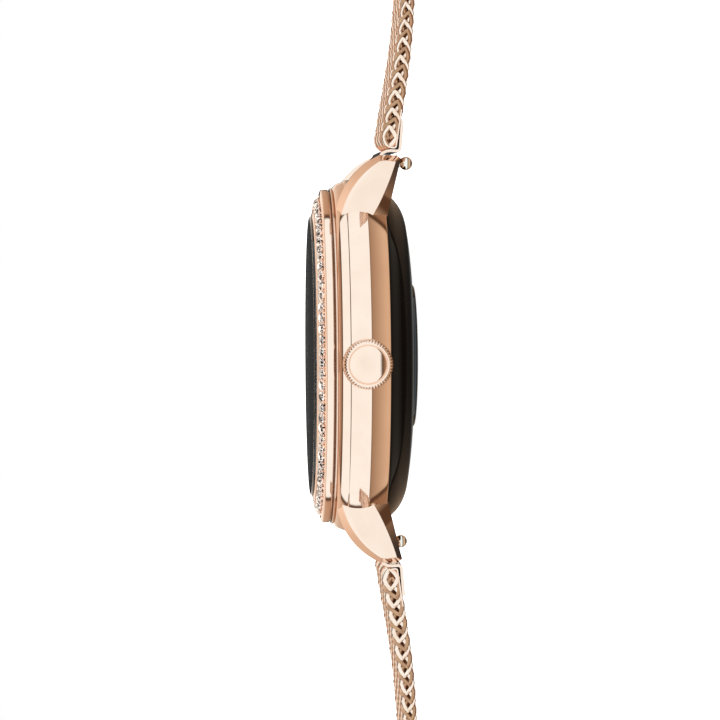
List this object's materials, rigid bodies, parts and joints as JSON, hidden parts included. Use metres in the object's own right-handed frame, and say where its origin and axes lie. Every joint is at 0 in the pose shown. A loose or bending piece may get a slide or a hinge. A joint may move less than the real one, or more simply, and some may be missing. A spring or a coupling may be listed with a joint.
{
  "type": "smartwatch",
  "caption": "Round smartwatch with a stone-set bezel, domed back, turning crown and a woven-mesh strap with quick-release bars and a sliding clasp.",
  "frame": {"origin": "on the case's axis, at the flat back of the sensor window, which the watch lies on", "axes": "+Z out of the display, +Y towards 12 o'clock, +X towards the crown at 3 o'clock"},
  "size_m": [0.045, 0.2125, 0.0126],
  "materials": {
    "rose_gold": "rose-gold plated steel, mirror polished",
    "rose_gold_mesh": "rose-gold plated steel wire, woven",
    "crystal": "clear cut crystal",
    "cover_glass": "dark glass over the dark display, polished",
    "black_gloss": "glossy black moulded cover",
    "sensor_window": "smoked black window",
    "seal": "black silicone seal",
    "steel": "plain stainless steel, polished",
    "contact": "gold-plated contact",
    "board": "green circuit board",
    "frame_plastic": "black glass-filled plastic",
    "can": "tin-plated sheet",
    "battery": "battery can",
    "display": "display module, off",
    "flex": "amber polyimide flexible circuit"
  },
  "bodies": {
    "case": {"mid_case": "rose_gold", "bezel": "rose_gold", "bezel_crystals": "crystal", "bezel_ring": "rose_gold", "bezel_gasket": "seal", "cover_glass": "cover_glass", "glass_gasket": "seal", "back_cover": "black_gloss", "back_gasket": "seal", "sensor_window": "sensor_window", "charge_rings": "contact", "display": "display", "display_flex": "flex", "main_board": "board", "shield_cans": "can", "inner_frame": "frame_plastic", "board_screws": "steel", "battery": "battery", "vibration_motor": "can", "speaker": "frame_plastic", "sensor_board": "board", "crown_tube": "steel", "push_switch": "frame_plastic", "switch_bracket": "steel"},
    "crown_plunger": {"switch_plunger": "steel"},
    "crown": {"crown_cap": "rose_gold", "crown_stem": "steel", "crown_seals": "seal", "crown_clip": "steel", "encoder_wheel": "frame_plastic"},
    "upper_end": {"upper_end_plate": "rose_gold", "upper_mesh_1": "rose_gold_mesh", "upper_bar_tube": "steel", "upper_bar_tip": "steel", "upper_bar_spring": "steel"},
    "upper_lever": {"upper_release_pin": "steel"},
    "lower_end": {"lower_end_plate": "rose_gold", "lower_mesh_1": "rose_gold_mesh", "lower_bar_tube": "steel", "lower_bar_tip": "steel", "lower_bar_spring": "steel"},
    "lower_lever": {"lower_release_pin": "steel"},
    "clasp": {"clasp_frame": "rose_gold", "clasp_pins": "steel"},
    "clasp_flap": {"clasp_lock_flap": "rose_gold"},
    "clasp_lid": {"clasp_cover": "rose_gold"},
    "upper_link_2": {"upper_mesh_2": "rose_gold_mesh"},
    "upper_link_3": {"upper_mesh_3": "rose_gold_mesh"},
    "upper_link_4": {"upper_mesh_4": "rose_gold_mesh"},
    "upper_link_5": {"upper_mesh_5": "rose_gold_mesh", "catch_bar": "rose_gold"},
    "lower_link_2": {"lower_mesh_2": "rose_gold_mesh"},
    "lower_link_3": {"lower_mesh_3": "rose_gold_mesh"},
    "lower_link_4": {"lower_mesh_4": "rose_gold_mesh"},
    "lower_link_5": {"lower_mesh_5": "rose_gold_mesh"},
    "lower_link_6": {"lower_mesh_6": "rose_gold_mesh"},
    "lower_link_7": {"lower_mesh_7": "rose_gold_mesh", "strap_end_cap": "rose_gold"}
  },
  "joints": [
    {"name": "crown_press", "type": "slide", "parent": "case", "child": "crown_plunger", "axis": [-1, 0, 0], "range_m": [0, 0.00035], "stiffness_N_per_m": 1500, "springref_m": -0.0006},
    {"name": "crown_turn", "type": "hinge", "parent": "crown_plunger", "child": "crown", "pos_m": [0.022, 0, 0.0066], "axis": [1, 0, 0], "continuous": true},
    {"name": "upper_end_hinge", "type": "hinge", "parent": "case", "child": "upper_end", "pos_m": [0, 0.0227, 0.00335], "axis": [-1, 0, 0], "range_deg": [-35, 60]},
    {"name": "upper_release", "type": "slide", "parent": "upper_end", "child": "upper_lever", "axis": [-1, 0, 0], "range_m": [0, 0.00145], "stiffness_N_per_m": 500, "springref_m": -0.001, "deforming": ["upper_bar_spring"]},
    {"name": "upper_flex_1", "type": "hinge", "parent": "upper_end", "child": "upper_link_2", "pos_m": [0, 0.0355, 0.00156], "axis": [-1, 0, 0], "range_deg": [-20, 26]},
    {"name": "upper_flex_2", "type": "hinge", "parent": "upper_link_2", "child": "upper_link_3", "pos_m": [0, 0.0465, 0.00079], "axis": [-1, 0, 0], "range_deg": [-20, 26]},
    {"name": "upper_flex_3", "type": "hinge", "parent": "upper_link_3", "child": "upper_link_4", "pos_m": [0, 0.0585, 0.00079], "axis": [-1, 0, 0], "range_deg": [-20, 26]},
    {"name": "upper_flex_4", "type": "hinge", "parent": "upper_link_4", "child": "upper_link_5", "pos_m": [0, 0.0705, 0.00079], "axis": [-1, 0, 0], "range_deg": [-20, 26]},
    {"name": "lower_end_hinge", "type": "hinge", "parent": "case", "child": "lower_end", "pos_m": [0, -0.0227, 0.00335], "axis": [1, 0, 0], "range_deg": [-35, 60]},
    {"name": "lower_release", "type": "slide", "parent": "lower_end", "child": "lower_lever", "axis": [1, 0, 0], "range_m": [0, 0.00145], "stiffness_N_per_m": 500, "springref_m": -0.001, "deforming": ["lower_bar_spring"]},
    {"name": "lower_flex_1", "type": "hinge", "parent": "lower_end", "child": "lower_link_2", "pos_m": [0, -0.0355, 0.00156], "axis": [1, 0, 0], "range_deg": [-20, 22]},
    {"name": "lower_flex_2", "type": "hinge", "parent": "lower_link_2", "child": "lower_link_3", "pos_m": [0, -0.0465, 0.00079], "axis": [1, 0, 0], "range_deg": [-20, 22]},
    {"name": "lower_flex_3", "type": "hinge", "parent": "lower_link_3", "child": "lower_link_4", "pos_m": [0, -0.0585, 0.00079], "axis": [1, 0, 0], "range_deg": [-20, 22]},
    {"name": "lower_flex_4", "type": "hinge", "parent": "lower_link_4", "child": "lower_link_5", "pos_m": [0, -0.0705, 0.00079], "axis": [1, 0, 0], "range_deg": [-20, 22]},
    {"name": "lower_flex_5", "type": "hinge", "parent": "lower_link_5", "child": "lower_link_6", "pos_m": [0, -0.0825, 0.00136], "axis": [1, 0, 0], "range_deg": [-20, 22]},
    {"name": "lower_flex_6", "type": "hinge", "parent": "lower_link_6", "child": "lower_link_7", "pos_m": [0, -0.1125, 0.00136], "axis": [1, 0, 0], "range_deg": [-20, 22]},
    {"name": "clasp_slide", "type": "slide", "parent": "lower_link_6", "child": "clasp", "axis": [0, 1, 0], "range_m": [-0.0032, 0.0032]},
    {"name": "lock_flap_hinge", "type": "hinge", "parent": "clasp", "child": "clasp_flap", "pos_m": [0, -0.0945, 0.00295], "axis": [1, 0, 0], "range_deg": [0, 70]},
    {"name": "clasp_cover_hinge", "type": "hinge", "parent": "clasp", "child": "clasp_lid", "pos_m": [0, -0.0964, 0.00305], "axis": [-1, 0, 0], "range_deg": [0, 95]}
  ]
}
